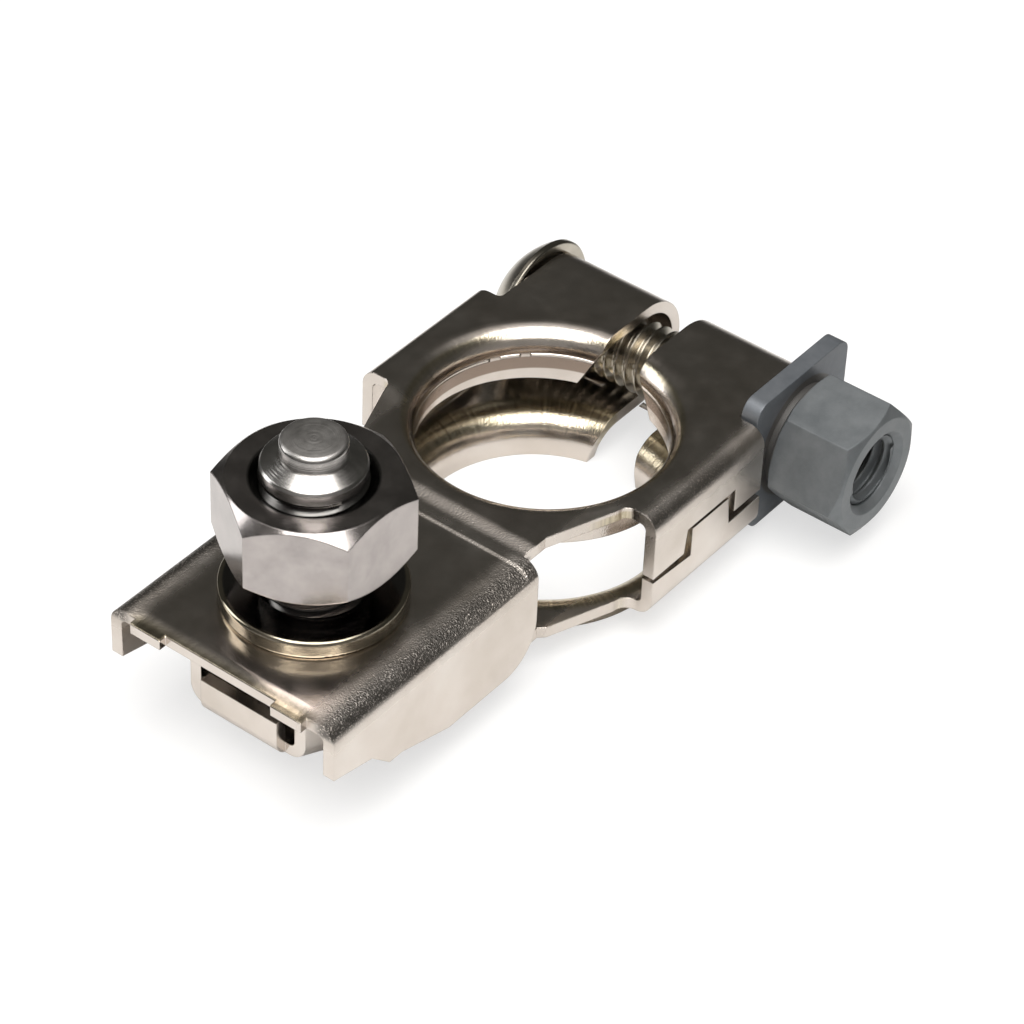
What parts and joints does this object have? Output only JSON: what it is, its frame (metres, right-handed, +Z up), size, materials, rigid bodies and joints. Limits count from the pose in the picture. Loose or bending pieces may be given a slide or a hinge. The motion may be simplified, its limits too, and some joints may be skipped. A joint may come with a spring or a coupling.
{
  "type": "battery terminal clamp",
  "caption": "Folded sheet-metal clamp that grips a battery post in a split ring closed by a cross bolt, with an upright threaded stud and nut for a cable terminal.",
  "frame": {"origin": "on the post ring's axis, at the rim of the lower collar where the battery post enters", "axes": "+Z up along the post, +Y from the stud towards the cross bolt, +X along the cross bolt towards its nut"},
  "size_m": [0.0361, 0.0597, 0.0268],
  "materials": {
    "nickel_plate": "bright nickel plating on pressed steel sheet",
    "stud_steel": "bright turned steel",
    "disc_steel": "bright plated steel",
    "nut_steel": "bright stainless steel",
    "bolt_steel": "bright plated steel",
    "zinc_flake_washer": "matt grey zinc-flake coating",
    "zinc_flake_nut": "matt grey zinc-flake coating"
  },
  "bodies": {
    "clamp_frame": {"clamp_body": "nickel_plate", "terminal_stud": "stud_steel", "stud_washer": "disc_steel", "clamp_bolt": "bolt_steel"},
    "stud_nut_rotor": {"stud_nut": "nut_steel"},
    "washer_slider": {"clamp_washer": "zinc_flake_washer"},
    "clamp_nut_rotor": {"clamp_nut": "zinc_flake_nut"}
  },
  "joints": [
    {"name": "stud_nut_turn", "type": "hinge", "parent": "clamp_frame", "child": "stud_nut_rotor", "pos_m": [0, -0.027, 0.0168], "axis": [0, 0, 1], "range_deg": [-890, 1440]},
    {"name": "clamp_washer_slide", "type": "slide", "parent": "clamp_frame", "child": "washer_slider", "axis": [1, 0, 0], "range_m": [0, 0.0045]},
    {"name": "clamp_nut_turn", "type": "hinge", "parent": "washer_slider", "child": "clamp_nut_rotor", "pos_m": [0.0132, 0.0158, 0.0074], "axis": [1, 0, 0], "range_deg": [0, 1620]}
  ],
  "couplings": [
    {"joint": "clamp_nut_turn", "follows": "clamp_washer_slide", "rad_per_m": 6283.2}
  ]
}
